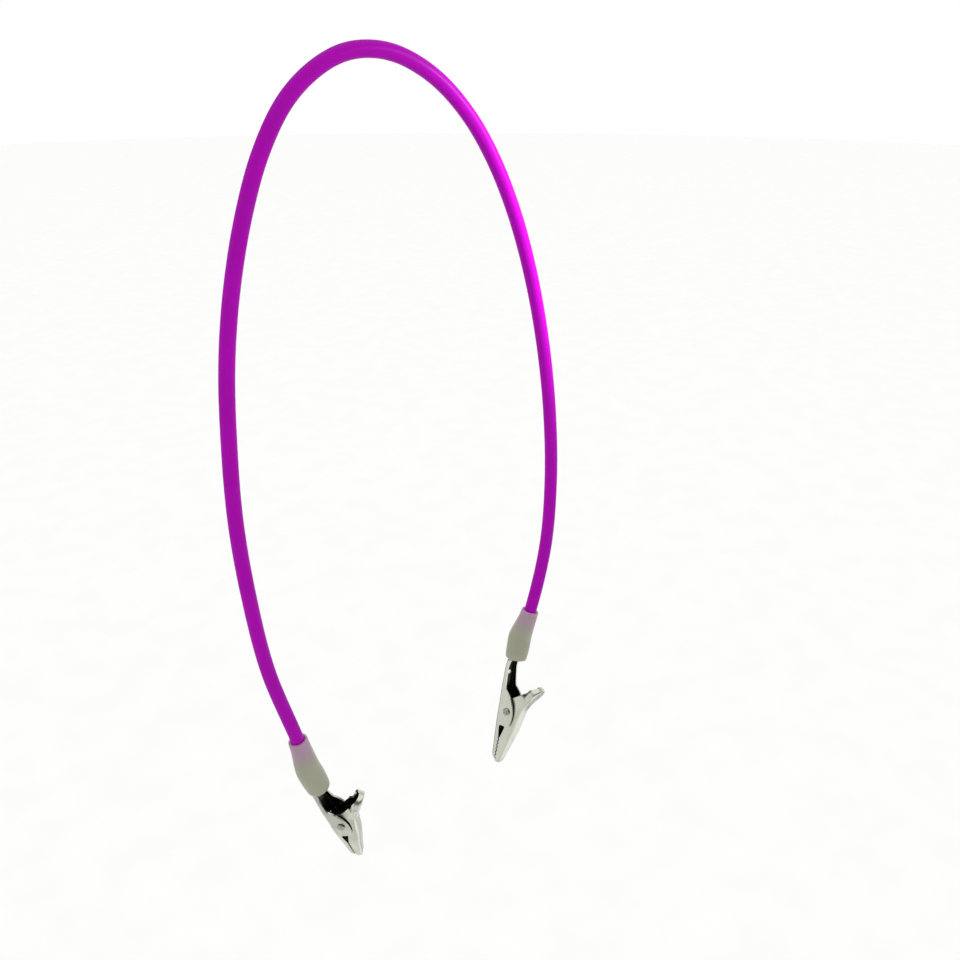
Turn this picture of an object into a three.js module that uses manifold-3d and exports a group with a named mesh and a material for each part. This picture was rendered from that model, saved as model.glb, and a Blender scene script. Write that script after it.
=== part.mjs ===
// Alligator clip lead: one flexible insulated cord that hangs over a support, with a spring clip on each end.
// Units are millimetres, +Z is up, +X runs along the arch from clip A to clip B.
// The origin is the underside of the cord at its crown, where the support carries it.
import * as THREE from 'three';
import { mergeVertices } from 'three/addons/utils/BufferGeometryUtils.js';
import Module from 'manifold-3d';

const wasm = await Module();
wasm.setup();

// ---------------------------------------------------------------- driving sizes
const CORD_RADIUS = 1.6;
const BORE_RADIUS = 0.95;
const CONDUCTOR_RADIUS = 0.5;
const CORD_SIDES = 8;
const JACKET_STEPS = 56;
const CONDUCTOR_STEPS = 80;
const ROUTE_SAMPLES = 240;

const SHEET = 0.45; // thickness of the stamped sheet
const GAP = 0.3; // clearance between neighbouring pieces
const TAIL_TIP_Z = -15.3; // end of the tail lever's jaw, measured from the pin
const THUMB_TIP_Z = -15.9; // end of the thumb lever's jaw
const TEETH_TOP_Z = -8.5; // where the serrated edges begin
const TOOTH_PITCH = 1.15;
const TOOTH_DEPTH = 0.4;
const CLOSING_X = -0.8; // the line on which the jaws meet, at the height of the pin
const CLOSING_SLOPE = 0.075; // and how fast it leans away from the pin towards the tip
const AXIS_X = -2.0; // how far behind the pin the barrel, the sleeve and the cord's end run
const BARREL_START = 15.2;
const BARREL_END = 19.2;
const BARREL_OUTER = 1.45;
const BARREL_INNER = 0.95;
const BARREL_SEAM = 0.5;

const PIN_RADIUS = 0.65;
const THUMB_BORE = 0.73; // running clearance on the pin
const TAIL_BORE = 0.75;
const PIN_HEAD_RADIUS = 1.0;
const PIN_HALF_LENGTH = 3.15;

const WIRE_RADIUS = 0.25;
const COIL_RADIUS = 1.25;
const COIL_HALF_LENGTH = 0.75;

const SLEEVE_SIDES = 20;
const SLEEVE_FRAMES = 60; // steps in which the sleeve's bent centreline is followed
const SLEEVE_BENDS = 6;
const CORD_IN_SLEEVE = 5.0; // how far the cord reaches into each sleeve
const STRAIGHT_IN_SLEEVE = [15.0, 16.7, 18.4, BARREL_END + 1.0]; // heights at which the centreline is in line

// Each clip: where its pin is, which way its tail points, which way its thumb lever faces,
// the height at which the tail enters its sleeve, and the length that the sleeve was cut to.
const CLIPS = {
  a: {
    pin: [-19.1, -6.8, -172.0],
    tail: [-0.309, 0.005, 0.951],
    thumb: [0.637, -0.741, 0.211],
    mouth: 12.9,
    sleeve: 17.1,
  },
  b: {
    pin: [31.7, -10.0, -161.2],
    tail: [0.286, 0.096, 0.953],
    thumb: [0.229, -0.973, 0.03],
    mouth: 14.3,
    sleeve: 14.8,
  },
};

// The cord's centreline from the top of sleeve A, over the crown, to the top of sleeve B.
const ROUTE = [
  [-28.3, -5.1, -144.2],
  [-33.1, -4.0, -122.5],
  [-35.0, -3.1, -102.9],
  [-35.5, -2.3, -84.9],
  [-34.6, -1.7, -68.3],
  [-32.9, -1.1, -52.9],
  [-30.0, -0.7, -38.6],
  [-25.9, -0.4, -25.3],
  [-21.4, -0.2, -15.0],
  [-15.9, -0.1, -6.8],
  [-9.8, 0.0, -1.7],
  [-3.4, 0.0, 1.2],
  [2.9, 0.0, 1.8],
  [9.5, 0.0, 0.5],
  [17.8, 0.0, -3.9],
  [25.3, -0.2, -11.0],
  [31.5, -0.4, -19.9],
  [36.9, -0.9, -31.3],
  [41.5, -1.5, -45.2],
  [45.1, -2.4, -62.1],
  [47.1, -3.5, -80.1],
  [47.2, -4.8, -98.8],
  [44.9, -6.2, -116.6],
  [39.2, -7.6, -133.4],
];

// ---------------------------------------------------------------- materials
const paint = (color, roughness, metalness) => new THREE.MeshStandardMaterial({ color, roughness, metalness });
const JACKET = paint(0xa516a6, 0.35, 0.0);
const COPPER = paint(0xc98a55, 0.35, 1.0);
const NICKEL = paint(0xc8c8bc, 0.25, 1.0);
const STEEL = paint(0x9a9b98, 0.3, 1.0);
const MILKY = paint(0xdededa, 0.5, 0.0);

// ---------------------------------------------------------------- solid helpers
function toManifold(geometry) {
  const plain = geometry.clone();
  plain.deleteAttribute('normal');
  plain.deleteAttribute('uv');
  const merged = mergeVertices(plain, 1e-5);
  const vertProperties = new Float32Array(merged.attributes.position.array);
  const triVerts = new Uint32Array(merged.index.array);
  return new wasm.Manifold(new wasm.Mesh({ numProp: 3, vertProperties, triVerts }));
}

function fromManifold(solid) {
  const mesh = solid.getMesh();
  const geometry = new THREE.BufferGeometry();
  geometry.setAttribute('position', new THREE.BufferAttribute(new Float32Array(mesh.vertProperties), 3));
  geometry.setIndex(new THREE.BufferAttribute(new Uint32Array(mesh.triVerts), 1));
  geometry.computeVertexNormals();
  return geometry;
}

function named(name, geometry, material) {
  const mesh = new THREE.Mesh(geometry, material);
  mesh.name = name;
  return mesh;
}

// A side outline in the clip's X-Z plane, extruded across its width.
function acrossWidth(outline, halfWidth) {
  const geometry = new THREE.ExtrudeGeometry(outline, { depth: 2 * halfWidth, bevelEnabled: false });
  geometry.rotateX(Math.PI / 2);
  geometry.translate(0, halfWidth, 0);
  return toManifold(geometry);
}

// A front outline in the clip's Y-Z plane, extruded through its depth.
function throughDepth(outline, halfDepth) {
  const geometry = new THREE.ExtrudeGeometry(outline, { depth: 2 * halfDepth, bevelEnabled: false });
  const turn = new THREE.Matrix4().makeBasis(
    new THREE.Vector3(0, 1, 0),
    new THREE.Vector3(0, 0, 1),
    new THREE.Vector3(1, 0, 0),
  );
  geometry.applyMatrix4(turn);
  geometry.translate(-halfDepth, 0, 0);
  return toManifold(geometry);
}

function cylinderAcross(radius, halfLength, sides) {
  return toManifold(new THREE.CylinderGeometry(radius, radius, 2 * halfLength, sides));
}

function polygon(points) {
  return new THREE.Shape(points.map(([x, y]) => new THREE.Vector2(x, y)));
}

function arc(centreX, centreY, radius, fromDeg, toDeg, steps) {
  const points = [];
  for (let i = 0; i <= steps; i += 1) {
    const angle = THREE.MathUtils.degToRad(fromDeg + ((toDeg - fromDeg) * i) / steps);
    points.push([centreX + radius * Math.cos(angle), centreY + radius * Math.sin(angle)]);
  }
  return points;
}

// A line of points moved sideways by a distance, to the left of its direction when positive.
function offsetLine(line, distance) {
  return line.map(([x, y], i) => {
    const [beforeX, beforeY] = line[Math.max(i - 1, 0)];
    const [afterX, afterY] = line[Math.min(i + 1, line.length - 1)];
    const length = Math.hypot(afterX - beforeX, afterY - beforeY);
    return [x - ((afterY - beforeY) / length) * distance, y + ((afterX - beforeX) / length) * distance];
  });
}

// The line on which the two jaws meet.
function closingX(z) {
  return CLOSING_X + CLOSING_SLOPE * z;
}

// A closed front outline from half widths [z, half width], mirrored about the middle.
function frontOutline(halfWidths, inset) {
  const right = halfWidths.map(([z, half]) => [Math.max(half - inset, 0.05), z]);
  const left = right.map(([y, z]) => [-y, z]).reverse();
  return polygon([...right, ...left]);
}

// The serrated free edge of a jaw, from its tip up to where the teeth begin.
function teeth(side) {
  const points = [];
  const lowest = TAIL_TIP_Z + 0.5;
  const count = Math.floor((TEETH_TOP_Z - lowest) / (TOOTH_PITCH / 2));
  for (let i = 0; i <= count; i += 1) {
    const swing = (i % 2 === 0 ? 0.5 : -0.5) * TOOTH_DEPTH;
    const z = lowest + (i * TOOTH_PITCH) / 2;
    points.push([closingX(z) + side * (GAP / 2) + swing, z]);
  }
  return points;
}

// ---------------------------------------------------------------- the two stamped levers
// Both are channels: an outer web with a cheek bent down along each side.
// The tail lever's back is nearly straight. The thumb lever's leans out to its paddle.
const TAIL_WEB = [
  [closingX(TAIL_TIP_Z) - 0.3, TAIL_TIP_Z + 0.1],
  [-2.95, TAIL_TIP_Z],
  [-3.3, TAIL_TIP_Z + 1.0],
  [-3.25, -9.5],
  [-3.15, -5.0],
  [-3.15, 1.0],
  [-3.3, 5.0],
  [-3.55, 9.0],
  [-3.65, 12.0],
  [-3.5, 13.6],
  [-3.45, BARREL_START],
  [-3.45, BARREL_END],
];

const THUMB_WEB = [
  [closingX(THUMB_TIP_Z) + 0.3, THUMB_TIP_Z + 0.1],
  [-0.65, THUMB_TIP_Z],
  [-0.1, THUMB_TIP_Z + 1.0],
  [0.6, -12.4],
  [1.85, -8.0],
  [2.7, -4.9],
  [3.35, -1.6],
  [4.05, 1.2],
  [5.0, 3.2],
  [7.0, 6.3],
  [8.4, 8.7],
];

const TAIL_HALF_WIDTHS = [
  [TAIL_TIP_Z - 0.1, 0.9],
  [TAIL_TIP_Z + 0.8, 1.2],
  [TEETH_TOP_Z, 1.9],
  [-4.4, 2.45],
  [-1.0, 2.65],
  [5.8, 2.65],
  [8.5, 2.4],
  [12.0, 2.2],
  [13.4, 2.1],
  [14.3, 1.8],
  [BARREL_START, 1.2],
  [BARREL_END + 0.1, 1.2],
];

const PADDLE_WIDEST_Z = 6.3;
const PADDLE_END_Z = 10.4;
const PADDLE_HALF_WIDTH = 2.8;
const THUMB_HALF_WIDTHS = [
  [THUMB_TIP_Z - 0.1, 0.9],
  [THUMB_TIP_Z + 1.0, 1.2],
  [TEETH_TOP_Z, 1.75],
  [-3.6, 1.85],
  [4.2, 1.85],
  [5.3, 2.4],
];

function thumbFront(inset) {
  const halfWidths = [...THUMB_HALF_WIDTHS];
  const steps = 7;
  for (let i = 0; i < steps; i += 1) {
    const angle = (Math.PI / 2) * (i / steps);
    const rise = (PADDLE_END_Z - inset - PADDLE_WIDEST_Z) * Math.sin(angle);
    const half = inset + (PADDLE_HALF_WIDTH - inset) * Math.cos(angle);
    halfWidths.push([PADDLE_WIDEST_Z + rise, half]);
  }
  return frontOutline(halfWidths, inset);
}

// The tail lever's free edge, from its sleeve end down round the lobe and keyhole to the teeth.
function tailFreeEdge() {
  return [
    [-1.2, BARREL_END],
    [-1.7, BARREL_START],
    [-2.2, 13.5],
    [-2.45, 11.5],
    [-2.15, 8.9],
    [-1.9, 6.8],
    ...arc(-6.23, -0.92, 8.12, 55.7, -20, 12),
    [1.2, -4.0],
    [-0.3, -4.35],
    ...arc(-1.05, -5.1, 0.7, 50, 180, 4),
    [closingX(TEETH_TOP_Z) - GAP / 2, TEETH_TOP_Z],
  ];
}

// The thumb lever's free edge, from its paddle down round the pin to the teeth.
function thumbFreeEdge() {
  return [
    [7.7, 10.4],
    [6.2, 9.7],
    [4.6, 7.8],
    [3.6, 6.0],
    [2.9, 4.9],
    [2.0, 4.55],
    [0.9, 4.2],
    ...arc(0, 0, 2.2, 120, 230, 6),
    [-1.2, -3.7],
    [-0.25, -5.0],
    [closingX(TEETH_TOP_Z) + GAP / 2, TEETH_TOP_Z],
  ];
}

// What is left of a lever's outer block once its inside is taken out, one sheet in from the web and the cheeks.
function hollowed(outer, web, side, front, tipZ) {
  const innerLine = offsetLine(web, side * SHEET).slice(1);
  innerLine[0][1] = tipZ + 0.9;
  const far = -side * 12;
  const top = innerLine[innerLine.length - 1][1];
  const outline = polygon([...innerLine, [far, Math.max(top, 12)], [far, tipZ + 0.9]]);
  return outer.subtract(acrossWidth(outline, 4).intersect(throughDepth(front, 14)));
}

function tailJaw() {
  const outline = [...TAIL_WEB, ...tailFreeEdge(), ...teeth(-1).reverse()];
  const outer = acrossWidth(polygon(outline), 4).intersect(throughDepth(frontOutline(TAIL_HALF_WIDTHS, 0), 8));
  return hollowed(outer, TAIL_WEB.slice(0, -1), -1, frontOutline(TAIL_HALF_WIDTHS, SHEET), TAIL_TIP_Z)
    .subtract(aboveBarrel())
    .add(crimpBarrel())
    .subtract(cylinderAcross(TAIL_BORE, 4, 16))
    .subtract(webHole());
}

// Clears the lever's own corners away from the span that the crimp barrel takes.
function aboveBarrel() {
  const box = new THREE.BoxGeometry(6, 6, BARREL_END - BARREL_START + 0.4);
  box.translate(AXIS_X, 0, (BARREL_START + BARREL_END) / 2 + 0.2);
  return toManifold(box);
}

// The rolled barrel that grips the conductor, open along a seam that faces the thumb side.
function crimpBarrel() {
  const halfSeam = Math.asin(BARREL_SEAM / 2 / BARREL_OUTER) * THREE.MathUtils.RAD2DEG;
  const ring = [
    ...arc(0, 0, BARREL_OUTER, halfSeam, 360 - halfSeam, 18),
    ...arc(0, 0, BARREL_INNER, 360 - halfSeam, halfSeam, 18),
  ];
  const barrel = new THREE.ExtrudeGeometry(polygon(ring), {
    depth: BARREL_END - BARREL_START + 0.4,
    bevelEnabled: false,
  });
  barrel.translate(AXIS_X, 0, BARREL_START - 0.4);
  return toManifold(barrel);
}

function webHole() {
  const drill = new THREE.CylinderGeometry(0.6, 0.6, 3, 16);
  drill.rotateZ(Math.PI / 2);
  drill.translate(-3.5, 0, 9.8);
  return toManifold(drill);
}

function thumbJaw() {
  const outline = [...THUMB_WEB, ...thumbFreeEdge(), ...teeth(1).reverse()];
  const outer = acrossWidth(polygon(outline), 4).intersect(throughDepth(thumbFront(0), 14));
  return hollowed(outer, THUMB_WEB, 1, thumbFront(SHEET), THUMB_TIP_Z)
    .subtract(cylinderAcross(THUMB_BORE, 4, 16));
}

// ---------------------------------------------------------------- pin and spring
function pivotPin() {
  const neck = PIN_HALF_LENGTH - 0.35;
  const head = [
    [PIN_RADIUS, neck],
    [PIN_HEAD_RADIUS, neck],
    [PIN_HEAD_RADIUS, neck + 0.1],
    [0.55, PIN_HALF_LENGTH - 0.05],
    [0, PIN_HALF_LENGTH],
  ];
  const mirrored = head.map(([x, y]) => [x, -y]).reverse();
  return new THREE.LatheGeometry([...mirrored, ...head].map(([x, y]) => new THREE.Vector2(x, y)), 16);
}

// A close coil round the pin, one leg up the tail's web and one up the thumb lever's web.
function torsionSpring() {
  const startDeg = 187.8;
  const endDeg = 1035;
  const coilSteps = 30;
  const points = [new THREE.Vector3(-2.2, -COIL_HALF_LENGTH, 3.9), new THREE.Vector3(-1.75, -COIL_HALF_LENGTH, 2.2)];
  for (let i = 0; i <= coilSteps; i += 1) {
    const angle = THREE.MathUtils.degToRad(startDeg + ((endDeg - startDeg) * i) / coilSteps);
    const along = -COIL_HALF_LENGTH + (2 * COIL_HALF_LENGTH * i) / coilSteps;
    points.push(new THREE.Vector3(COIL_RADIUS * Math.cos(angle), along, COIL_RADIUS * Math.sin(angle)));
  }
  points.push(new THREE.Vector3(3.2, COIL_HALF_LENGTH, 1.7));
  points.push(new THREE.Vector3(4.1, COIL_HALF_LENGTH, 3.5));
  return sweptRod(new THREE.CatmullRomCurve3(points), WIRE_RADIUS, 6, 50);
}

// ---------------------------------------------------------------- cord, conductor and sleeves
function ringShape(radius, sides) {
  return polygon(arc(0, 0, radius, 0, 360 - 360 / sides, sides - 1));
}

function sweptRod(curve, radius, sides, steps, boreRadius = 0) {
  const shape = ringShape(radius, sides);
  if (boreRadius > 0) {
    shape.holes.push(ringShape(boreRadius, sides));
  }
  return new THREE.ExtrudeGeometry(shape, { steps, bevelEnabled: false, extrudePath: curve });
}

// The part of a curve between two distances along it.
function stretch(curve, from, to, points) {
  const length = curve.getLength();
  const picked = [];
  for (let i = 0; i <= points; i += 1) {
    picked.push(curve.getPointAt((from + ((to - from) * i) / points) / length));
  }
  return new THREE.CatmullRomCurve3(picked);
}

// A soft sleeve as a thick tube of changing radius along a gently bent centreline.
function sleeve(curve) {
  const stations = [
    // [share of the length from the mouth, outer radius, inner radius]
    [0.0, 2.9, 2.6],
    [0.07, 3.0, 2.55],
    [0.2, 3.1, 2.5],
    [0.37, 3.1, 2.4],
    [0.53, 2.9, 2.1],
    [0.67, 2.65, 1.9],
    [0.83, 2.4, 1.85],
    [1.0, 2.25, 1.85],
  ];
  const frames = curve.computeFrenetFrames(SLEEVE_FRAMES, false);
  const positions = [];
  const ring = (at, radius) => {
    const k = Math.round(at * SLEEVE_FRAMES);
    const centre = curve.getPointAt(at);
    for (let i = 0; i < SLEEVE_SIDES; i += 1) {
      const angle = (2 * Math.PI * i) / SLEEVE_SIDES;
      const point = centre
        .clone()
        .addScaledVector(frames.normals[k], radius * Math.cos(angle))
        .addScaledVector(frames.binormals[k], radius * Math.sin(angle));
      positions.push(point.x, point.y, point.z);
    }
  };
  stations.forEach(([at, outer]) => ring(at, outer));
  [...stations].reverse().forEach(([at, , inner]) => ring(at, inner));
  const rings = 2 * stations.length;
  const index = [];
  for (let r = 0; r < rings; r += 1) {
    for (let i = 0; i < SLEEVE_SIDES; i += 1) {
      const next = (i + 1) % SLEEVE_SIDES;
      const a = r * SLEEVE_SIDES + i;
      const b = r * SLEEVE_SIDES + next;
      const c = ((r + 1) % rings) * SLEEVE_SIDES + i;
      const d = ((r + 1) % rings) * SLEEVE_SIDES + next;
      index.push(a, b, d, a, d, c);
    }
  }
  const geometry = new THREE.BufferGeometry();
  geometry.setAttribute('position', new THREE.Float32BufferAttribute(positions, 3));
  geometry.setIndex(index);
  geometry.computeVertexNormals();
  return geometry;
}

// ---------------------------------------------------------------- assembly
// The matrix that carries a clip's own frame (pin at the origin, tail up, thumb lever on +X) into place.
function clipFrame({ pin, tail, thumb }) {
  const up = new THREE.Vector3(...tail).normalize();
  const across = new THREE.Vector3().crossVectors(up, new THREE.Vector3(...thumb)).normalize();
  const side = new THREE.Vector3().crossVectors(across, up);
  return new THREE.Matrix4().makeBasis(side, across, up).setPosition(...pin);
}

function placed(geometry, frame) {
  return geometry.clone().applyMatrix4(frame);
}

function buildClip(group, suffix) {
  const frame = clipFrame(CLIPS[suffix]);
  group.add(named(`tail_jaw_${suffix}`, placed(fromManifold(tailJaw()), frame), NICKEL));
  group.add(named(`thumb_jaw_${suffix}`, placed(fromManifold(thumbJaw()), frame), NICKEL));
  group.add(named(`pivot_pin_${suffix}`, placed(pivotPin(), frame), NICKEL));
  group.add(named(`torsion_spring_${suffix}`, placed(torsionSpring(), frame), STEEL));
}

// The whole centreline, from the mouth of sleeve A to the mouth of sleeve B.
function wholeRoute() {
  const alongTail = (suffix) => {
    const frame = clipFrame(CLIPS[suffix]);
    const heights = [CLIPS[suffix].mouth, ...STRAIGHT_IN_SLEEVE];
    return heights.map((z) => new THREE.Vector3(AXIS_X, 0, z).applyMatrix4(frame));
  };
  return new THREE.CatmullRomCurve3([
    ...alongTail('a'),
    ...ROUTE.map((point) => new THREE.Vector3(...point)),
    ...alongTail('b').reverse(),
  ]);
}

function buildCord(group) {
  const route = wholeRoute();
  route.arcLengthDivisions = 2000;
  const length = route.getLength();
  const cordEnd = ({ sleeve: cut }) => cut - CORD_IN_SLEEVE;
  const bareEnd = ({ mouth }) => BARREL_START - mouth + 0.6;
  const { a, b } = CLIPS;
  const jacketPath = stretch(route, cordEnd(a), length - cordEnd(b), ROUTE_SAMPLES);
  const conductorPath = stretch(route, bareEnd(a), length - bareEnd(b), ROUTE_SAMPLES);
  group.add(named('cord_jacket', sweptRod(jacketPath, CORD_RADIUS, CORD_SIDES, JACKET_STEPS, BORE_RADIUS), JACKET));
  group.add(named('conductor', sweptRod(conductorPath, CONDUCTOR_RADIUS, CORD_SIDES, CONDUCTOR_STEPS), COPPER));
  group.add(named('sleeve_a', sleeve(stretch(route, 0, a.sleeve, SLEEVE_BENDS)), MILKY));
  group.add(named('sleeve_b', sleeve(stretch(route, length, length - b.sleeve, SLEEVE_BENDS)), MILKY));
}

const lead = new THREE.Group();
lead.name = 'alligator_clip_lead';
buildCord(lead);
buildClip(lead, 'a');
buildClip(lead, 'b');

export default lead;
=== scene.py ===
"""Alligator clip lead in purple silicone: one cord that hangs from its crown.
Each end has a sprung clip and a milky sleeve. Everything is in metres in the row frame.
Lengths written in millimetres are turned into metres with MM."""

import math

import bmesh
import bpy
from mathutils import Matrix, Vector


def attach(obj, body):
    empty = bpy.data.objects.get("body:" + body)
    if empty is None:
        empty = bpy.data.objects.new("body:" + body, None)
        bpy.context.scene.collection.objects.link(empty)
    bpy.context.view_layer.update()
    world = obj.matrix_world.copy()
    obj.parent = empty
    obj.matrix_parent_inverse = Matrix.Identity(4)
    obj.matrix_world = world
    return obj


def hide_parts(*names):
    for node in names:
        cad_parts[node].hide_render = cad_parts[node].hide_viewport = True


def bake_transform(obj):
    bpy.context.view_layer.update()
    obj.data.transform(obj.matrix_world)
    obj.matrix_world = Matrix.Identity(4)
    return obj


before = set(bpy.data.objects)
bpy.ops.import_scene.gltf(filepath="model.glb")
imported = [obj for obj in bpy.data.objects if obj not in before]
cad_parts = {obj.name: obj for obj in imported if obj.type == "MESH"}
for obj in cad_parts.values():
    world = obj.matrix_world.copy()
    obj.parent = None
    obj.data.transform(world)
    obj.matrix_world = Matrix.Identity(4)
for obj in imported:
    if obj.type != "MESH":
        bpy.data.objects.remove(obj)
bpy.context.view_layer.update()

MM = 0.001

# ------------------------------------------------------------------ driving sizes, in millimetres
CORD_RADIUS = 1.6
SHEET = 0.45
TAIL_TIP_Z = -15.3  # end of the tail lever's jaw, measured from the pin
THUMB_TIP_Z = -15.9  # end of the thumb lever's jaw
TEETH_TOP_Z = -8.5
TOOTH_PITCH = 1.15
TOOTH_DEPTH = 0.4
CLOSING_X = -0.8  # the line on which the jaws meet, at the height of the pin
CLOSING_SLOPE = 0.075
AXIS_X = -2.0  # how far behind the pin the barrel, the sleeve and the cord's end run
BARREL_START = 15.2
BARREL_END = 19.2
BARREL_RADIUS = 1.45
BARREL_SEAM = 0.5
PIN_RADIUS = 0.65
WIRE_RADIUS = 0.25
COIL_RADIUS = 1.25
COIL_HALF_LENGTH = 0.75
CORD_IN_SLEEVE = 5.0  # how far the cord reaches into its sleeve
STRAIGHT_IN_SLEEVE = (15.0, 16.7, 18.4, BARREL_END + 1.0)  # heights that keep its line straight there

# Each clip: where its pin is, which way its tail points, which way its thumb lever faces,
# the height at which the tail enters its sleeve, and the length that the sleeve was cut to.
CLIPS = {
    "a": {
        "pin": (-19.1, -6.8, -172.0),
        "tail": (-0.309, 0.005, 0.951),
        "thumb": (0.637, -0.741, 0.211),
        "mouth": 12.9,
        "sleeve": 17.1,
    },
    "b": {
        "pin": (31.7, -10.0, -161.2),
        "tail": (0.286, 0.096, 0.953),
        "thumb": (0.229, -0.973, 0.03),
        "mouth": 14.3,
        "sleeve": 14.8,
    },
}

# The cord's centreline from the top of sleeve A, over the crown, to the top of sleeve B.
ROUTE = [
    (-28.3, -5.1, -144.2),
    (-33.1, -4.0, -122.5),
    (-35.0, -3.1, -102.9),
    (-35.5, -2.3, -84.9),
    (-34.6, -1.7, -68.3),
    (-32.9, -1.1, -52.9),
    (-30.0, -0.7, -38.6),
    (-25.9, -0.4, -25.3),
    (-21.4, -0.2, -15.0),
    (-15.9, -0.1, -6.8),
    (-9.8, 0.0, -1.7),
    (-3.4, 0.0, 1.2),
    (2.9, 0.0, 1.8),
    (9.5, 0.0, 0.5),
    (17.8, 0.0, -3.9),
    (25.3, -0.2, -11.0),
    (31.5, -0.4, -19.9),
    (36.9, -0.9, -31.3),
    (41.5, -1.5, -45.2),
    (45.1, -2.4, -62.1),
    (47.1, -3.5, -80.1),
    (47.2, -4.8, -98.8),
    (44.9, -6.2, -116.6),
    (39.2, -7.6, -133.4),
]

# ------------------------------------------------------------------ camera
CAMERA_AT = (-97.7, -167.8, 6.8)
CAMERA_PITCH = 25.9  # degrees below the horizon
CAMERA_AZIMUTH = 36.9  # degrees from +Y towards +X
CAMERA_LENS = 35.6  # millimetres on a 36 mm sensor
FLOOR_Z = -420.0  # the lead hangs well clear of the floor
FLOOR_RADIUS = 4.0  # metres


def make_camera():
    data = bpy.data.cameras.new("camera")
    data.lens = CAMERA_LENS
    data.sensor_width = 36.0
    data.clip_start = 0.005
    camera = bpy.data.objects.new("camera", data)
    bpy.context.scene.collection.objects.link(camera)
    pitch = math.radians(CAMERA_PITCH)
    azimuth = math.radians(CAMERA_AZIMUTH)
    forward = Vector((
        math.cos(pitch) * math.sin(azimuth),
        math.cos(pitch) * math.cos(azimuth),
        -math.sin(pitch),
    ))
    camera.location = Vector(CAMERA_AT) * MM
    camera.rotation_euler = forward.to_track_quat("-Z", "Y").to_euler()
    bpy.context.scene.camera = camera


make_camera()


# ------------------------------------------------------------------ curve and mesh helpers
def clip_frame(suffix):
    """The matrix that carries a clip's own frame, pin at the origin and tail up, into place, in metres."""
    clip = CLIPS[suffix]
    up = Vector(clip["tail"]).normalized()
    across = up.cross(Vector(clip["thumb"])).normalized()
    side = across.cross(up)
    turn = Matrix((side, across, up)).transposed().to_4x4()
    return Matrix.Translation(Vector(clip["pin"]) * MM) @ turn @ Matrix.Scale(MM, 4)


def smooth_line(points, per_span=16):
    """A centripetal Catmull-Rom curve through the points."""
    knots = [Vector(p) for p in points]
    knots = [2 * knots[0] - knots[1]] + knots + [2 * knots[-1] - knots[-2]]
    line = []
    for i in range(1, len(knots) - 2):
        p0, p1, p2, p3 = knots[i - 1:i + 3]
        t0 = 0.0
        t1 = t0 + (p1 - p0).length ** 0.5
        t2 = t1 + (p2 - p1).length ** 0.5
        t3 = t2 + (p3 - p2).length ** 0.5
        for k in range(per_span):
            t = t1 + (t2 - t1) * k / per_span
            a1 = p0 * ((t1 - t) / (t1 - t0)) + p1 * ((t - t0) / (t1 - t0))
            a2 = p1 * ((t2 - t) / (t2 - t1)) + p2 * ((t - t1) / (t2 - t1))
            a3 = p2 * ((t3 - t) / (t3 - t2)) + p3 * ((t - t2) / (t3 - t2))
            b1 = a1 * ((t2 - t) / (t2 - t0)) + a2 * ((t - t0) / (t2 - t0))
            b2 = a2 * ((t3 - t) / (t3 - t1)) + a3 * ((t - t1) / (t3 - t1))
            line.append(b1 * ((t2 - t) / (t2 - t1)) + b2 * ((t - t1) / (t2 - t1)))
    line.append(knots[-2].copy())
    return line


def distances(line):
    along = [0.0]
    for a, b in zip(line, line[1:]):
        along.append(along[-1] + (b - a).length)
    return along


def at_distance(line, along, distance):
    """The point at a distance along a line, and the line's direction there."""
    i = 0
    while i < len(along) - 2 and along[i + 1] < distance:
        i += 1
    share = (distance - along[i]) / (along[i + 1] - along[i])
    return line[i].lerp(line[i + 1], share), (line[i + 1] - line[i]).normalized()


def between(table, x):
    """A value read from rows of (x, value) by straight lines, with x rising."""
    if x <= table[0][0]:
        return table[0][1]
    for (x0, y0), (x1, y1) in zip(table, table[1:]):
        if x <= x1:
            return y0 + (y1 - y0) * (x - x0) / (x1 - x0)
    return table[-1][1]


AVERAGED = 4  # samples taken to each side when a table's corners are rounded


def rounded(table, steps, reach):
    """Rows of (x, value) resampled and averaged over a reach to each side, so that corners curve."""
    low, high = table[0][0], table[-1][0]
    rows = []
    for i in range(steps + 1):
        x = low + (high - low) * i / steps
        span = min(reach, x - low, high - x)
        near = [between(table, x + span * k / AVERAGED) for k in range(-AVERAGED, AVERAGED + 1)]
        rows.append((x, sum(near) / len(near)))
    return rows


def arc(centre_x, centre_y, radius, from_deg, to_deg, steps):
    angles = [math.radians(from_deg + (to_deg - from_deg) * i / steps) for i in range(steps + 1)]
    return [(centre_x + radius * math.cos(a), centre_y + radius * math.sin(a)) for a in angles]


def new_object(name, bm, matrix=None, smooth=True):
    if matrix is not None:
        bmesh.ops.transform(bm, matrix=matrix, verts=bm.verts)
    bmesh.ops.recalc_face_normals(bm, faces=bm.faces)
    mesh = bpy.data.meshes.new(name)
    bm.to_mesh(mesh)
    bm.free()
    for polygon in mesh.polygons:
        polygon.use_smooth = smooth
    obj = bpy.data.objects.new(name, mesh)
    bpy.context.scene.collection.objects.link(obj)
    return obj


def bridge(bm, rows, closed_rows=False):
    """Faces between neighbouring rows of vertices."""
    for lower, upper in zip(rows, rows[1:]):
        count = len(lower)
        last = count if closed_rows else count - 1
        for i in range(last):
            j = (i + 1) % count
            corners = [lower[i], lower[j], upper[j], upper[i]]
            if len(set(corners)) == 4:
                bm.faces.new(corners)


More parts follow.
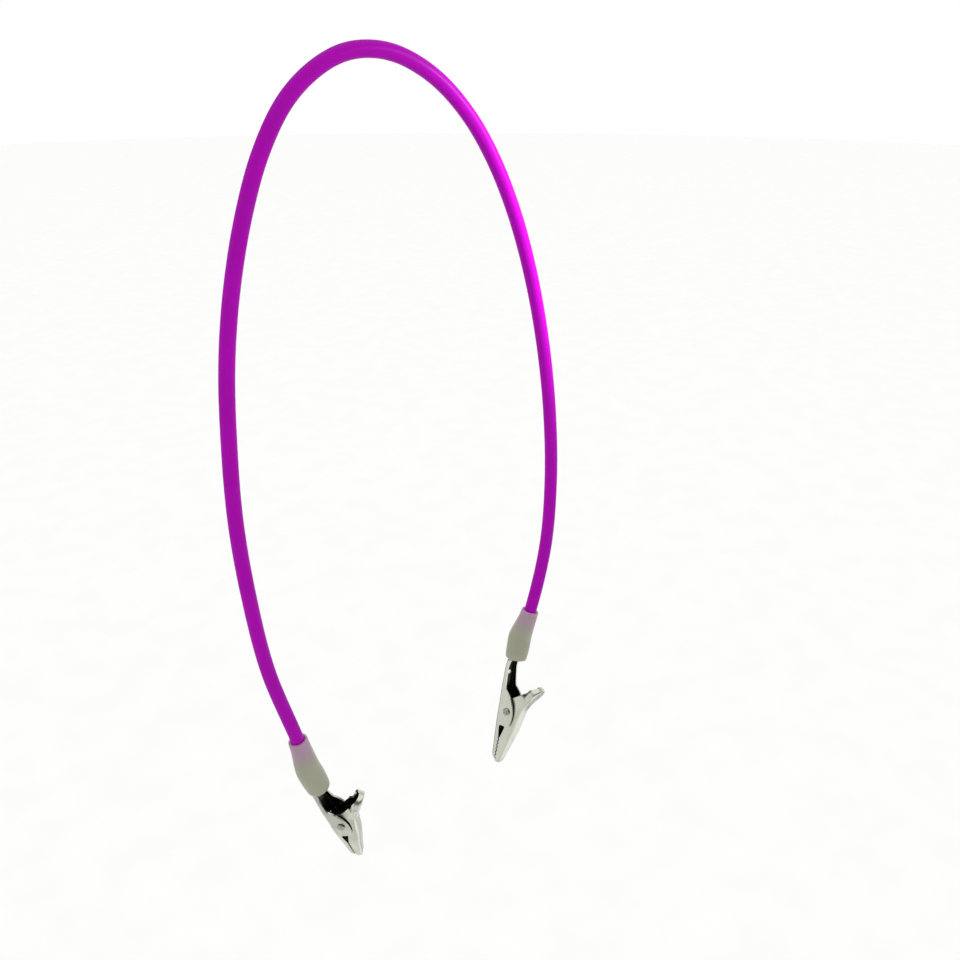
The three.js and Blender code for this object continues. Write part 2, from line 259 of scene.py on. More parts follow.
def revolve(profile, sides):
    """A closed solid from a profile of (radius, height), turned about Z.
    Ends with no radius are closed to a point."""
    bm = bmesh.new()
    rows = []
    for radius, height in profile:
        ring = []
        for i in range(sides):
            angle = 2 * math.pi * i / sides
            ring.append(bm.verts.new((radius * math.cos(angle), radius * math.sin(angle), height)))
        rows.append(ring)
    bridge(bm, rows, closed_rows=True)
    bmesh.ops.remove_doubles(bm, verts=bm.verts, dist=1e-5)
    return bm


def parallel_frames(line):
    """A side direction for each point of a line that turns as little as possible along it."""
    frames = []
    side = None
    for i in range(len(line)):
        before = line[max(i - 1, 0)]
        after = line[min(i + 1, len(line) - 1)]
        forward = (after - before).normalized()
        if side is None:
            side = forward.orthogonal().normalized()
        side = (side - forward * side.dot(forward)).normalized()
        frames.append((forward, side, forward.cross(side)))
    return frames


def tube(line, radii, sides):
    """A mesh of rings along a line, with the given radius at each point, not capped."""
    bm = bmesh.new()
    rows = []
    for point, radius, (_, side, other) in zip(line, radii, parallel_frames(line)):
        ring = []
        for i in range(sides):
            angle = 2 * math.pi * i / sides
            outwards = side * radius * math.cos(angle) + other * radius * math.sin(angle)
            ring.append(bm.verts.new(point + outwards))
        rows.append(ring)
    bridge(bm, rows, closed_rows=True)
    return bm, rows


# ------------------------------------------------------------------ materials
NOISE_RANGE = (0.35, 0.65)  # where most of a noise texture's values lie


def new_material(name, colour, roughness, metallic=0.0):
    material = bpy.data.materials.new(name)
    material.use_nodes = True
    material.diffuse_color = (*colour, 1.0)
    shader = material.node_tree.nodes["Principled BSDF"]
    shader.inputs["Base Color"].default_value = (*colour, 1.0)
    shader.inputs["Roughness"].default_value = roughness
    shader.inputs["Metallic"].default_value = metallic
    return material, shader


def noise(material, scale, detail, stretch=(1.0, 1.0, 1.0)):
    """A noise texture in object coordinates, which are the row frame's own metres."""
    nodes, links = material.node_tree.nodes, material.node_tree.links
    where = nodes.new("ShaderNodeTexCoord")
    mapping = nodes.new("ShaderNodeMapping")
    mapping.inputs["Scale"].default_value = stretch
    texture = nodes.new("ShaderNodeTexNoise")
    texture.inputs["Scale"].default_value = scale
    texture.inputs["Detail"].default_value = detail
    links.new(where.outputs["Object"], mapping.inputs["Vector"])
    links.new(mapping.outputs["Vector"], texture.inputs["Vector"])
    return texture.outputs["Fac"]


def spread(material, value, low, high):
    """A noise value mapped from its usual range to low..high."""
    ramp = material.node_tree.nodes.new("ShaderNodeMapRange")
    ramp.inputs["From Min"].default_value = NOISE_RANGE[0]
    ramp.inputs["From Max"].default_value = NOISE_RANGE[1]
    ramp.inputs["To Min"].default_value = low
    ramp.inputs["To Max"].default_value = high
    material.node_tree.links.new(value, ramp.inputs["Value"])
    return ramp.outputs["Result"]


def two_colours(material, factor, first, second):
    mix = material.node_tree.nodes.new("ShaderNodeMix")
    mix.data_type = "RGBA"
    mix.inputs["A"].default_value = (*first, 1.0)
    mix.inputs["B"].default_value = (*second, 1.0)
    material.node_tree.links.new(factor, mix.inputs["Factor"])
    return mix.outputs["Result"]


def bump(material, shader, height, strength, distance):
    node = material.node_tree.nodes.new("ShaderNodeBump")
    node.inputs["Strength"].default_value = strength
    node.inputs["Distance"].default_value = distance
    material.node_tree.links.new(height, node.inputs["Height"])
    material.node_tree.links.new(node.outputs["Normal"], shader.inputs["Normal"])


def nickel_material():
    """Bright nickel over stamped steel: faint rolling lines, slight waviness and dulled patches."""
    material, shader = new_material("nickel_plate", (0.77, 0.79, 0.69), 0.2, 1.0)
    links = material.node_tree.links
    patches = noise(material, 260.0, 3.0)
    lines = noise(material, 900.0, 6.0, (1.0, 1.0, 0.08))
    dulled = spread(material, patches, 0.0, 1.0)
    colour = two_colours(material, dulled, (0.79, 0.81, 0.70), (0.74, 0.76, 0.66))
    links.new(colour, shader.inputs["Base Color"])
    links.new(spread(material, lines, 0.18, 0.32), shader.inputs["Roughness"])
    bump(material, shader, lines, 0.03, 0.00005)
    return material


def painted_shade_inside_material():
    """The same plate inside the folded levers, painted near black as shade: the fold's shade is painted
    into its colour, with a slight random mottling.
    """
    # Painted shade: these near-black colours stand in for the shade inside the fold, not for the plating's
    # own colour.
    material, shader = new_material("nickel_inside_painted_shade", (0.03, 0.036, 0.03), 0.3, 1.0)
    links = material.node_tree.links
    inside_mottle = noise(material, 420.0, 4.0, (1.0, 1.0, 0.3))
    shade_mottle = spread(material, inside_mottle, 0.0, 1.0)
    # The noise mixes two near-black tones of the painted shade.
    colour = two_colours(material, shade_mottle, (0.042, 0.05, 0.042), (0.02, 0.024, 0.02))
    links.new(colour, shader.inputs["Base Color"])
    links.new(spread(material, inside_mottle, 0.22, 0.42), shader.inputs["Roughness"])
    bump(material, shader, inside_mottle, 0.08, 0.00005)
    return material


def rivet_material():
    material, shader = new_material("rivet_steel", (0.50, 0.51, 0.46), 0.22, 1.0)
    turned = noise(material, 1500.0, 5.0)
    material.node_tree.links.new(spread(material, turned, 0.2, 0.38), shader.inputs["Roughness"])
    bump(material, shader, turned, 0.1, 0.00003)
    return material


def spring_material():
    material, shader = new_material("spring_steel", (0.56, 0.57, 0.57), 0.28, 1.0)
    drawn = noise(material, 2400.0, 4.0)
    material.node_tree.links.new(spread(material, drawn, 0.2, 0.4), shader.inputs["Roughness"])
    bump(material, shader, drawn, 0.12, 0.00002)
    return material


def cord_material():
    """Satin silicone: saturated purple that light enters a little, with a fine skin and handling marks."""
    material, shader = new_material("purple_silicone", (0.34, 0.0006, 0.355), 0.36)
    links = material.node_tree.links
    mottle = noise(material, 120.0, 3.0)
    skin = noise(material, 2600.0, 3.0)
    handled = spread(material, mottle, 0.0, 1.0)
    colour = two_colours(material, handled, (0.35, 0.0006, 0.365), (0.325, 0.0006, 0.34))
    links.new(colour, shader.inputs["Base Color"])
    links.new(spread(material, mottle, 0.32, 0.44), shader.inputs["Roughness"])
    shader.inputs["Subsurface Weight"].default_value = 0.25
    shader.inputs["Subsurface Radius"].default_value = (0.0012, 0.0003, 0.0012)
    shader.inputs["Subsurface Scale"].default_value = 1.0
    shader.inputs["Specular IOR Level"].default_value = 0.06
    bump(material, shader, skin, 0.10, 0.00003)
    return material


def sleeve_material(name, top, mouth):
    """Milky silicone, tinted by the cord's end in its upper part. top and mouth end its axis."""
    material, shader = new_material(name, (0.31, 0.31, 0.23), 0.42)
    nodes, links = material.node_tree.nodes, material.node_tree.links
    axis = mouth - top
    where = nodes.new("ShaderNodeTexCoord")
    offset = nodes.new("ShaderNodeVectorMath")
    offset.operation = "SUBTRACT"
    offset.inputs[1].default_value = top
    project = nodes.new("ShaderNodeVectorMath")
    project.operation = "DOT_PRODUCT"
    project.inputs[1].default_value = axis / axis.length_squared
    links.new(where.outputs["Object"], offset.inputs[0])
    links.new(offset.outputs["Vector"], project.inputs[0])
    tint = nodes.new("ShaderNodeValToRGB")
    tint.color_ramp.interpolation = "EASE"
    stops = [
        (0.0, (0.36, 0.22, 0.31)),
        (0.14, (0.34, 0.24, 0.30)),
        (0.32, (0.31, 0.28, 0.26)),
        (0.45, (0.31, 0.31, 0.23)),
    ]
    ramp = tint.color_ramp
    ramp.elements[0].position, ramp.elements[0].color = stops[0][0], (*stops[0][1], 1.0)
    ramp.elements[1].position, ramp.elements[1].color = stops[-1][0], (*stops[-1][1], 1.0)
    for position, colour in stops[1:-1]:
        ramp.elements.new(position).color = (*colour, 1.0)
    links.new(project.outputs["Value"], tint.inputs["Fac"])
    links.new(tint.outputs["Color"], shader.inputs["Base Color"])
    haze = noise(material, 300.0, 3.0)
    links.new(spread(material, haze, 0.36, 0.5), shader.inputs["Roughness"])
    shader.inputs["Subsurface Weight"].default_value = 0.6
    shader.inputs["Subsurface Radius"].default_value = (0.0025, 0.0024, 0.0022)
    shader.inputs["Subsurface Scale"].default_value = 1.0
    shader.inputs["Sheen Weight"].default_value = 0.3
    shader.inputs["Sheen Roughness"].default_value = 0.4
    bump(material, shader, haze, 0.08, 0.0001)
    return material


def copper_material():
    """Bare stranded copper: the lay of the strands as fine slanted ridges."""
    material, shader = new_material("stranded_copper", (0.72, 0.38, 0.22), 0.3, 1.0)
    strands = noise(material, 1800.0, 2.0, (1.0, 1.0, 0.2))
    material.node_tree.links.new(spread(material, strands, 0.22, 0.45), shader.inputs["Roughness"])
    bump(material, shader, strands, 0.3, 0.0001)
    return material


NICKEL = nickel_material()
# Painted shade for the inner faces of the levers.
PAINTED_SHADE_INSIDE = painted_shade_inside_material()
RIVET = rivet_material()
SPRING = spring_material()
PURPLE = cord_material()
COPPER = copper_material()


# ------------------------------------------------------------------ cord, first of all the pieces
def centreline_on_tail(suffix):
    """Where the cord's centreline runs straight up the tail, from the mouth of the sleeve."""
    heights = (CLIPS[suffix]["mouth"], *STRAIGHT_IN_SLEEVE)
    return [clip_frame(suffix) @ Vector((AXIS_X, 0, z)) for z in heights]


ON_TAIL = {suffix: centreline_on_tail(suffix) for suffix in CLIPS}
WHOLE_ROUTE = smooth_line(ON_TAIL["a"] + [Vector(p) * MM for p in ROUTE] + ON_TAIL["b"][::-1])
ROUTE_ALONG = distances(WHOLE_ROUTE)
ROUTE_LENGTH = ROUTE_ALONG[-1]
CORD_START = (CLIPS["a"]["sleeve"] - CORD_IN_SLEEVE) * MM
CORD_END = ROUTE_LENGTH - (CLIPS["b"]["sleeve"] - CORD_IN_SLEEVE) * MM


def stretch_of_route(start, end, count):
    """Evenly spaced points of the route between two distances from the mouth of sleeve A."""
    steps = [start + (end - start) * i / count for i in range(count + 1)]
    return [at_distance(WHOLE_ROUTE, ROUTE_ALONG, distance)[0] for distance in steps]


CORD_RINGS = 420
CORD_SIDES = 28
CORD_END_ROUNDING = 0.5


def make_cord():
    """The insulated cord as a smooth tube with rounded ends."""
    line = stretch_of_route(CORD_START, CORD_END, CORD_RINGS)
    along = distances(line)
    round_off = CORD_END_ROUNDING * MM
    radii = []
    for distance in along:
        from_end = min(distance, along[-1] - distance)
        cut = max(round_off - from_end, 0.0)
        radii.append(CORD_RADIUS * MM - (round_off - math.sqrt(max(round_off ** 2 - cut ** 2, 0.0))))
    bm, rows = tube(line, radii, CORD_SIDES)
    bm.faces.new(rows[0][::-1])
    bm.faces.new(rows[-1])
    cord = new_object("cord", bm)
    cord.data.materials.append(PURPLE)
    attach(cord, "lead")
    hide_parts("cord_jacket")
    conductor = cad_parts["conductor"]
    conductor.data.materials.clear()
    conductor.data.materials.append(COPPER)


make_cord()


# ------------------------------------------------------------------ sleeves
# Rows of (share of the length from the mouth, radius).
SLEEVE_OUTER = [
    (0.0, 2.8),
    (0.06, 2.95),
    (0.2, 3.08),
    (0.37, 3.1),
    (0.53, 2.9),
    (0.67, 2.65),
    (0.83, 2.4),
    (1.0, 2.25),
]
SLEEVE_INNER = [(0.0, 2.5), (0.2, 2.5), (0.4, 2.35), (0.55, 2.0), (0.68, 1.7), (1.0, 1.68)]
SLEEVE_RINGS = 90
SLEEVE_SIDES = 56
SLEEVE_SMOOTHING = 0.08  # share of the length to each side over which the tables above are averaged
LIP_ROUNDING = 0.22


def make_sleeve(suffix):
    """A soft tube, narrow round the cord, swollen over the crimp, with rounded lips at both ends."""
    length = CLIPS[suffix]["sleeve"]
    mouth_at, towards_top = (0.0, 1) if suffix == "a" else (ROUTE_LENGTH, -1)
    line = stretch_of_route(mouth_at, mouth_at + towards_top * length * MM, SLEEVE_RINGS)
    frames = parallel_frames(line)
    outer = rounded(SLEEVE_OUTER, SLEEVE_RINGS, SLEEVE_SMOOTHING)
    inner = rounded(SLEEVE_INNER, SLEEVE_RINGS, SLEEVE_SMOOTHING)
    profile = []
    for share, radius in outer:
        from_end = min(share, 1 - share) * length
        cut = max(LIP_ROUNDING - from_end, 0.0)
        profile.append((share, radius - LIP_ROUNDING + math.sqrt(LIP_ROUNDING ** 2 - cut ** 2)))
    profile += reversed(inner)
    bm = bmesh.new()
    rows = []
    for share, radius in profile:
        k = round(share * SLEEVE_RINGS)
        _, side, other = frames[k]
        ring = []
        for i in range(SLEEVE_SIDES):
            angle = 2 * math.pi * i / SLEEVE_SIDES
            outwards = (side * math.cos(angle) + other * math.sin(angle)) * radius * MM
            ring.append(bm.verts.new(line[k] + outwards))
        rows.append(ring)
    rows.append(rows[0])
    bridge(bm, rows, closed_rows=True)
    sleeve = new_object(f"sleeve_shell_{suffix}", bm)
    sleeve.data.materials.append(sleeve_material(f"milky_silicone_{suffix}", line[-1], line[0]))
    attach(sleeve, "lead")
    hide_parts(f"sleeve_{suffix}")


# ------------------------------------------------------------------ stamped levers
# The tail's web as rows of (height, how far out from the pin), the thumb lever's as (how far out, height),
# because it leans out to the paddle. Half widths are rows of (height, half width).
TAIL_WEB = [
    (TAIL_TIP_Z, -2.3),
    (-15.05, -2.85),
    (-14.3, -3.3),
    (-9.5, -3.25),
    (-5.0, -3.15),
    (1.0, -3.15),
    (5.0, -3.3),
    (9.0, -3.55),
    (12.0, -3.65),
    (13.6, -3.5),
    (BARREL_START, -3.45),
    (BARREL_END, -3.45),
]
TAIL_HALF_WIDTH = [
    (TAIL_TIP_Z, 0.8),
    (-14.5, 1.2),
    (TEETH_TOP_Z, 1.9),
    (-4.4, 2.45),
    (-1.0, 2.65),
    (5.8, 2.65),
    (8.5, 2.4),
    (12.0, 2.2),
    (13.4, 2.1),
    (14.3, 1.8),
    (BARREL_START, 1.2),
    (BARREL_END, 1.2),
]
THUMB_WEB = [
    (-0.65, THUMB_TIP_Z),
    (-0.1, -14.9),
    (0.6, -12.4),
    (1.85, -8.0),
    (2.7, -4.9),
    (3.35, -1.6),
    (4.05, 1.2),
    (5.0, 3.2),
    (7.0, 6.3),
    (8.4, 8.7),
]
PADDLE_HALF_WIDTH = 2.8
THUMB_HALF_WIDTH = [
    (THUMB_TIP_Z, 0.8),
    (-14.9, 1.2),
    (TEETH_TOP_Z, 1.75),
    (-3.6, 1.85),
    (2.6, 1.85),
    (4.2, 2.4),
    (5.8, PADDLE_HALF_WIDTH),
    (8.7, PADDLE_HALF_WIDTH),
]
PADDLE_START = 2.6  # height from which the thumb lever's cheeks belong to the paddle
PADDLE_DEPTH = [  # rows of (height, depth of the cheeks)
    (PADDLE_START, 4.5),
    (3.1, 4.0),
    (3.7, 3.3),
    (4.5, 3.0),
    (6.0, 2.9),
    (7.4, 2.3),
    (8.7, 1.3),
]
PADDLE_TILT = (1.0, 4.5)  # heights between which the sections turn to face along the paddle
PADDLE_ROUNDING = 2.9  # length of the paddle's rounded end, along the web
ROLL_START = 1.4  # how deep the paddle's cheeks run before their edges roll inwards
ROLL_RADIUS = 1.0
ROLL_GROWTH = (PADDLE_START + 1.2, PADDLE_START + 2.8)  # heights between which the roll grows
WEB_POINTS = 7  # points of a section: half of the web, its bent corner, one cheek
CORNER_POINTS = 7
CHEEK_POINTS = 14
CORNER_RADIUS = 0.7
WEB_CROWN = 0.06
LEAST_CHEEK = 0.3
HALF_GAP = 0.15  # half of the gap between the two rows of teeth
NECK_START = 13.4  # where the tail begins to curl into its barrel
LEVER_STATIONS = 240
PADDLE_END_STATIONS = 40
PADDLE_END_SHARE = 0.88  # share of the thumb lever after which stations crowd towards the paddle's end
TABLE_STEPS = 160
WEB_HOLE_AT = (-3.5, 0, 9.8)
WEB_HOLE_RADIUS = 0.6
WEB_HOLE_REACH = 1.2  # how far its cutter goes to each side of that place
EDGE_ROUNDING = 0.07


def closing_x(z):
    """The line on which the two jaws meet."""
    return CLOSING_X + CLOSING_SLOPE * z


def tooth_edge(z, side):
    """How far out a jaw's serrated edge is at height z.
    side is -1 on the tail lever and 1 on the thumb lever."""
    phase = ((z - TAIL_TIP_Z - 0.5) / TOOTH_PITCH) % 1.0
    swing = (abs(2.0 * phase - 1.0) - 0.5) * TOOTH_DEPTH
    return closing_x(z) + side * HALF_GAP + swing


def tail_free_edge():
    """Rows of (height, reach of the cheek towards the thumb side), from the teeth up to the barrel."""
    keyhole = arc(-1.05, -5.1, 0.7, 180, 50, 10)
    lobe = arc(-6.23, -0.92, 8.12, -20, 55.7, 28)
    neck = [(6.8, -1.9), (8.9, -2.15), (11.5, -2.45), (13.5, -2.2)]
    rows = [(TEETH_TOP_Z, closing_x(TEETH_TOP_Z) - HALF_GAP)]
    rows += [(z, x) for x, z in keyhole]
    rows += [(-4.35, -0.3), (-4.0, 1.2)]
    rows += [(z, x) for x, z in lobe]
    rows += neck + [(BARREL_START, -1.7), (BARREL_END, -1.2)]
    return rows


def thumb_free_edge():
    """Rows of (height, reach of the cheek towards the tail side), from the teeth up past the pin."""
    round_the_pin = arc(0, 0, 2.2, 230, 120, 16)
    rows = [(TEETH_TOP_Z, closing_x(TEETH_TOP_Z) + HALF_GAP), (-5.0, -0.25), (-3.7, -1.2)]
    rows += [(z, x) for x, z in round_the_pin]
    rows += [(4.2, 0.9)]
    return rows


def channel_section(half, depth, roll):
    """Half of a channel's cross-section from the middle of the web, as (across, inward).
    The web is slightly crowned. With roll the cheek's free edge turns inwards, from nothing at 0
    to an arc of ROLL_RADIUS at 1."""
    corner = min(CORNER_RADIUS, 0.55 * half, 0.8 * depth)
    crown = WEB_CROWN * min(half / 2.0, 1.0)
    flat = half - corner
    section = []
    for i in range(WEB_POINTS + 1):
        across = flat * i / WEB_POINTS
        section.append((across, -crown * (1 - (across / half) ** 2) if half > 0.05 else 0.0))
    for i in range(1, CORNER_POINTS + 1):
        angle = math.pi / 2 * i / CORNER_POINTS
        section.append((flat + corner * math.sin(angle), corner * (1 - math.cos(angle))))
    for i in range(1, CHEEK_POINTS + 1):
        run = corner + (depth - corner) * i / CHEEK_POINTS
        if roll > 0.01:
            angle = roll * max(run - ROLL_START, 0.0) / ROLL_RADIUS
            turned_in = ROLL_RADIUS / roll * (1 - math.cos(angle))
            turned_down = ROLL_RADIUS / roll * math.sin(angle)
            section.append((half - turned_in, min(run, ROLL_START) + turned_down))
        else:
            section.append((half, run))
    return section


def curled_section(count):
    """Half of the crimp barrel's cross-section in a number of points, from its back round to the seam."""
    half_turn = math.pi - 0.5 * BARREL_SEAM / BARREL_RADIUS
    section = []
    for i in range(count):
        angle = half_turn * i / (count - 1)
        section.append((BARREL_RADIUS * math.sin(angle), BARREL_RADIUS * (1 - math.cos(angle))))
    return section


def channel(stations):
    """The outer skin of a sheet-metal channel, lofted through its stations in the clip's frame.
    Each station is (web middle, inward direction, half width, cheek depth, roll of the cheek's edge,
    how far it has curled into a barrel)."""
    bm = bmesh.new()
    rows = []
    for middle, inward, half, depth, roll, curl in stations:
        folded = channel_section(half, depth, roll)
        curled = curled_section(len(folded))
        blended = [
            (y0 + (y1 - y0) * curl, d0 + (d1 - d0) * curl)
            for (y0, d0), (y1, d1) in zip(folded, curled)
        ]
        full = [(-y, d) for y, d in reversed(blended[1:])] + blended
        rows.append([bm.verts.new(middle + Vector((0, y, 0)) + inward * d) for y, d in full])
    bridge(bm, rows)
    bmesh.ops.remove_doubles(bm, verts=bm.verts, dist=0.004)
    return bm


def smooth_step(value, low, high):
    share = min(max((value - low) / (high - low), 0.0), 1.0)
    return share * share * (3 - 2 * share)


def tail_stations():
    web = rounded(TAIL_WEB, TABLE_STEPS, 0.6)
    half = rounded(TAIL_HALF_WIDTH, TABLE_STEPS, 0.8)
    edge = tail_free_edge()
    length = BARREL_END - TAIL_TIP_Z
    heights = {TAIL_TIP_Z + length * i / LEVER_STATIONS for i in range(LEVER_STATIONS + 1)}
    heights |= {z for z, _ in edge}
    stations = []
    for z in sorted(heights):
        reach = tooth_edge(z, -1) if z < TEETH_TOP_Z else between(edge, z)
        x = between(web, z)
        depth = max(reach - x, LEAST_CHEEK)
        curl = smooth_step(z, NECK_START, BARREL_START + 0.4)
        stations.append((Vector((x, 0, z)), Vector((1, 0, 0)), between(half, z), depth, 0.0, curl))
    return stations


def thumb_stations():
    """From the tip up past the pin in level sections, then tilting to follow the paddle to its end."""
    line = smooth_line([Vector((x, 0, z)) for x, z in THUMB_WEB], 24)
    along = distances(line)
    total = along[-1]
    edge = thumb_free_edge()
    half = rounded(THUMB_HALF_WIDTH, TABLE_STEPS, 0.8)
    paddle_depth = rounded(PADDLE_DEPTH, 80, 0.3)
    steps = [PADDLE_END_SHARE * i / LEVER_STATIONS for i in range(LEVER_STATIONS)]
    for i in range(PADDLE_END_STATIONS + 1):
        crowded = math.sin(math.pi / 2 * i / PADDLE_END_STATIONS)
        steps.append(PADDLE_END_SHARE + (1 - PADDLE_END_SHARE) * crowded)
    stations = []
    for share in steps:
        distance = total * share
        point, forward = at_distance(line, along, distance)
        tilt = smooth_step(point.z, *PADDLE_TILT)
        inward = Vector((-1, 0, 0)).lerp(Vector((-forward.z, 0, forward.x)), tilt).normalized()
        if point.z < TEETH_TOP_Z:
            depth = point.x - tooth_edge(point.z, 1)
        elif point.z < PADDLE_START:
            depth = point.x - between(edge, point.z)
        else:
            depth = between(paddle_depth, point.z)
        width = between(half, point.z)
        past_widest = (distance - total + PADDLE_ROUNDING) / PADDLE_ROUNDING
        if past_widest > 0:
            width *= math.sqrt(max(1 - past_widest ** 2, 0.0))
        roll = smooth_step(point.z, *ROLL_GROWTH) * min(width / PADDLE_HALF_WIDTH, 1.0)
        stations.append((point, inward, width, max(depth, LEAST_CHEEK), roll, 0.0))
    return stations


def applied(obj):
    """Turns an object's modifiers into its mesh."""
    bpy.context.view_layer.update()
    evaluated = obj.evaluated_get(bpy.context.evaluated_depsgraph_get())
    mesh = bpy.data.meshes.new_from_object(evaluated)
    obj.modifiers.clear()
    obj.data = mesh


def drilled(obj, matrix, radius, reach):
    """Cuts a round hole along a matrix's Z axis, as far as reach to each side of its origin."""
    profile = [(0, -reach), (radius, -reach), (radius, reach), (0, reach)]
    cutter = new_object("cutter", revolve(profile, 32), matrix)
    cut = obj.modifiers.new("hole", "BOOLEAN")
    cut.operation = "DIFFERENCE"
    cut.solver = "EXACT"
    cut.object = cutter
    applied(obj)
    bpy.data.objects.remove(cutter)


def make_lever(name, suffix, stations, body, node):
    """A folded lever, bright outside and painted dark inside as shade, riding on its body. Its edges are
    softened.
    """
    lever = new_object(f"{name}_{suffix}", channel(stations), clip_frame(suffix))
    lever.data.materials.append(NICKEL)
    # The second material is painted shade for the inner faces.
    lever.data.materials.append(PAINTED_SHADE_INSIDE)
    inward = clip_frame(suffix).to_3x3() @ stations[len(stations) // 2][1]
    middle = clip_frame(suffix) @ stations[len(stations) // 2][0]
    nearest = min(lever.data.polygons, key=lambda face: (face.center - middle).length)
    if nearest.normal.dot(inward) > 0:
        lever.data.flip_normals()
    sheet = lever.modifiers.new("sheet", "SOLIDIFY")
    sheet.thickness = SHEET * MM
    sheet.offset = -1.0
    sheet.use_quality_normals = True
    # The inner faces take that painted-shade material.
    sheet.material_offset = 1
    applied(lever)
    if name == "tail_lever":
        middle_of_hole = Matrix.Translation(WEB_HOLE_AT) @ Matrix.Rotation(math.pi / 2, 4, "Y")
        drilled(lever, clip_frame(suffix) @ middle_of_hole, WEB_HOLE_RADIUS, WEB_HOLE_REACH)
    bevel = lever.modifiers.new("edges", "BEVEL")
    bevel.width = EDGE_ROUNDING * MM
    bevel.segments = 2
    bevel.limit_method = "ANGLE"
    bevel.angle_limit = math.radians(50)
    bevel.harden_normals = True
    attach(lever, body)
    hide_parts(f"{node}_{suffix}")


# ------------------------------------------------------------------ pin and spring
# Half of the rivet's profile as rows of (radius, distance from its middle): a dimpled dome and the shank.
PIN_HEAD = [
    (0.0, 2.86),
    (0.2, 2.88),
    (0.4, 2.98),
    (0.55, 3.1),
    (0.75, 3.13),
    (0.95, 3.0),
    (1.0, 2.88),
    (0.95, 2.8),
    (PIN_RADIUS, 2.8),
]


def rounded_profile(points):
    """A smooth version of a lathe profile, through the same points."""
    return [(max(p.x, 0.0), p.y) for p in smooth_line([Vector((r, z, 0)) for r, z in points], 4)]


def make_pin(suffix):
    """A rivet with low domed heads, each with a punched dimple."""
    profile = rounded_profile(PIN_HEAD)
    profile += [(radius, -height) for radius, height in reversed(profile)]
    turn = Matrix.Rotation(-math.pi / 2, 4, "X")
    pin = new_object(f"rivet_{suffix}", revolve(profile, 40), clip_frame(suffix) @ turn)
    pin.data.materials.append(RIVET)
    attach(pin, "lead")
    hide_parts(f"pivot_pin_{suffix}")


COIL_START_DEG = 187.8
COIL_END_DEG = 1035.0
COIL_STEPS = 72
# The legs as rows of (how far out from the pin, height). Each reaches towards one lever's web.
TAIL_LEG = [(-2.2, 3.9), (-1.75, 2.2)]
THUMB_LEG = [(3.2, 1.7), (4.1, 3.5)]


def make_spring(suffix):
    """A coil round the pin with one leg on each lever."""
    start, end = math.radians(COIL_START_DEG), math.radians(COIL_END_DEG)
    points = [Vector((x, -COIL_HALF_LENGTH, z)) for x, z in TAIL_LEG]
    for i in range(COIL_STEPS + 1):
        angle = start + (end - start) * i / COIL_STEPS
        along = -COIL_HALF_LENGTH + 2 * COIL_HALF_LENGTH * i / COIL_STEPS
        points.append(Vector((COIL_RADIUS * math.cos(angle), along, COIL_RADIUS * math.sin(angle))))
    points += [Vector((x, COIL_HALF_LENGTH, z)) for x, z in THUMB_LEG]
    line = smooth_line(points, 4)
    bm, rows = tube(line, [WIRE_RADIUS] * len(line), 12)
    bm.faces.new(rows[0][::-1])
    bm.faces.new(rows[-1])
    at = clip_frame(suffix)
    spring = new_object(f"spring_{suffix}", bm, at)
    spring.data.materials.append(SPRING)
    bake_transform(spring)
    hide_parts(f"torsion_spring_{suffix}")


for suffix in CLIPS:
    make_sleeve(suffix)
    make_lever("tail_lever", suffix, tail_stations(), "lead", "tail_jaw")
    make_lever("thumb_lever", suffix, thumb_stations(), f"thumb_{suffix}", "thumb_jaw")
    make_pin(suffix)
    make_spring(suffix)


# ------------------------------------------------------------------ room and light
# Soft boxes that the shiny parts mirror, the brightest one in each direction. Each is
# (direction, cosine where it fades out, cosine where it is full, brightness).
SOFT_BOXES = [
    ((-1.0, 0.15, 0.0), 0.62, 0.9, 0.78),  # left
    ((-0.8, 0.1, -0.5), 0.75, 0.93, 0.74),  # left and below
    ((-0.3, -0.8, -0.5), 0.6, 0.9, 0.75),  # behind the camera
    ((0.45, -0.55, -0.7), 0.66, 0.88, 0.98),  # in front and below
    ((-0.05, 0.15, -0.98), 0.80, 0.99, 0.82),  # below
    ((0.35, 0.65, -0.7), 0.82, 0.97, 0.95),  # behind and below
    ((0.9, 0.35, -0.1), 0.5, 0.9, 0.8),  # right
    ((0.2, 0.85, -0.45), 0.8, 0.93, 1.15),  # behind
    ((0.0, 0.0, 1.0), 0.55, 0.85, 0.9),  # above
]
MIRRORED_ROOM = 0.10  # brightness between the soft boxes, and the least that a shiny part mirrors
ROOM_BRIGHTNESS = 1.05  # even light on everything that is not shiny


def make_floor():
    bm = bmesh.new()
    bmesh.ops.create_circle(bm, cap_ends=True, radius=FLOOR_RADIUS, segments=96)
    floor = new_object("floor", bm, Matrix.Translation((0, 0, FLOOR_Z * MM)), smooth=False)
    material, shader = new_material("pale_floor", (0.93, 0.93, 0.92), 0.8)
    grain = noise(material, 40.0, 3.0)
    speckle = spread(material, grain, 0.0, 1.0)
    colour = two_colours(material, speckle, (0.96, 0.96, 0.955), (0.94, 0.94, 0.935))
    material.node_tree.links.new(colour, shader.inputs["Base Color"])
    shader.inputs["Specular IOR Level"].default_value = 0.1
    floor.data.materials.append(material)
    floor.visible_glossy = False


def math_node(tree, operation, *values):
    node = tree.nodes.new("ShaderNodeMath")
    node.operation = operation
    for socket, value in zip(node.inputs, values):
        if isinstance(value, (int, float)):
            socket.default_value = value
        else:
            tree.links.new(value, socket)
    return node.outputs["Value"]


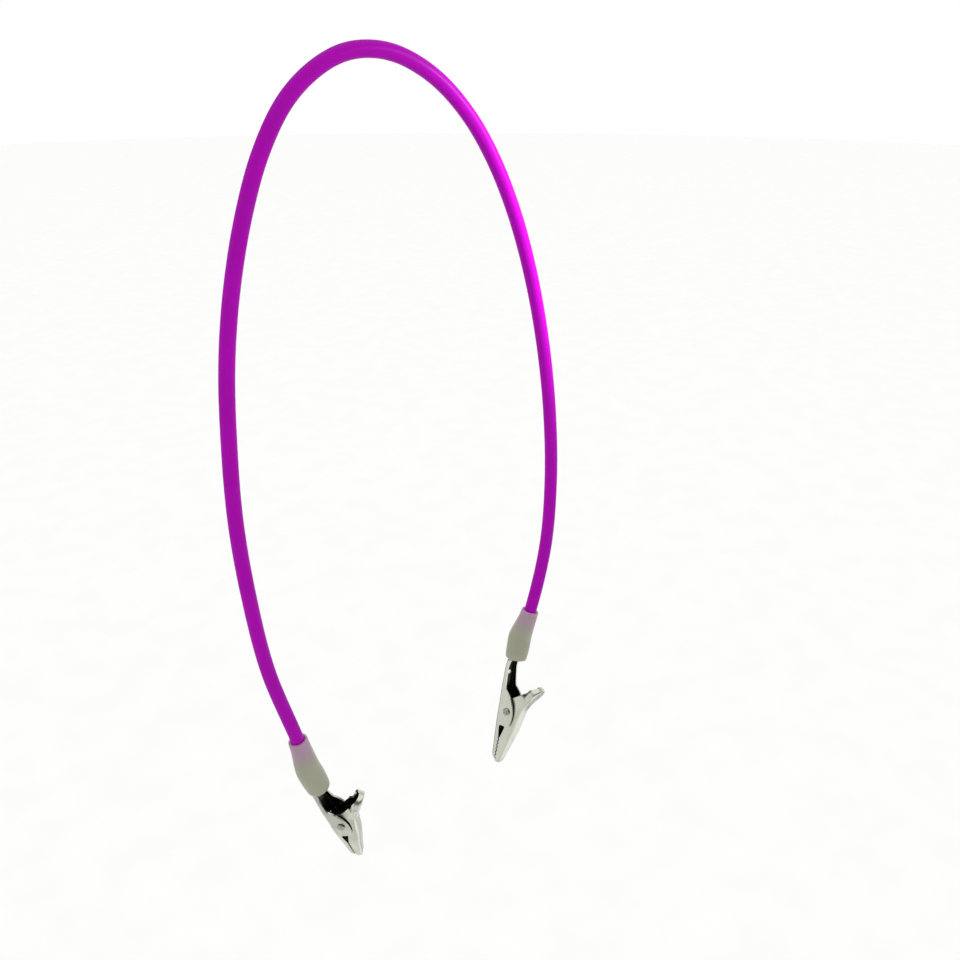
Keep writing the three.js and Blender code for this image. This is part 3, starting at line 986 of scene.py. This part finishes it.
def make_room():
    """A white room. Shiny surfaces mirror soft boxes in a dim surround, and the rest gets even light."""
    world = bpy.data.worlds.new("white_room")
    world.use_nodes = True
    tree = world.node_tree
    direction = tree.nodes.new("ShaderNodeTexCoord").outputs["Generated"]
    mirrored = MIRRORED_ROOM
    for towards, fade, full, brightness in SOFT_BOXES:
        facing = tree.nodes.new("ShaderNodeVectorMath")
        facing.operation = "DOT_PRODUCT"
        facing.inputs[1].default_value = Vector(towards).normalized()
        tree.links.new(direction, facing.inputs[0])
        box = tree.nodes.new("ShaderNodeMapRange")
        box.interpolation_type = "SMOOTHSTEP"
        box.inputs["From Min"].default_value = fade
        box.inputs["From Max"].default_value = full
        box.inputs["To Max"].default_value = brightness
        tree.links.new(facing.outputs["Value"], box.inputs["Value"])
        mirrored = math_node(tree, "MAXIMUM", mirrored, box.outputs["Result"])
    rays = tree.nodes.new("ShaderNodeLightPath")
    extra = math_node(tree, "MULTIPLY", rays.outputs["Is Diffuse Ray"], ROOM_BRIGHTNESS - 1.0)
    even = math_node(tree, "ADD", 1.0, extra)
    shiny = rays.outputs["Is Glossy Ray"]
    kept = math_node(tree, "MULTIPLY", even, math_node(tree, "SUBTRACT", 1.0, shiny))
    strength = math_node(tree, "ADD", kept, math_node(tree, "MULTIPLY", shiny, mirrored))
    background = tree.nodes["Background"]
    background.inputs["Color"].default_value = (1.0, 1.0, 1.0, 1.0)
    tree.links.new(strength, background.inputs["Strength"])
    bpy.context.scene.world = world
    bpy.context.scene.view_settings.view_transform = "Standard"


def spot_light(name, location, size, power, spread_deg, target):
    """A soft-edged spot, brightest in the middle of its beam."""
    data = bpy.data.lights.new(name, "SPOT")
    data.shadow_soft_size = size
    data.spot_size = math.radians(spread_deg)
    data.spot_blend = 1.0
    data.energy = power
    light = bpy.data.objects.new(name, data)
    light.location = location
    light.rotation_euler = (Vector(target) - Vector(location)).to_track_quat("-Z", "Y").to_euler()
    bpy.context.scene.collection.objects.link(light)


make_floor()
make_room()
spot_light(
    "crown_light",
    location=(0.15, -0.15, 0.03),
    size=0.02,
    power=4.5,
    spread_deg=30.0,
    target=(0.046, 0.0, -0.032),
)
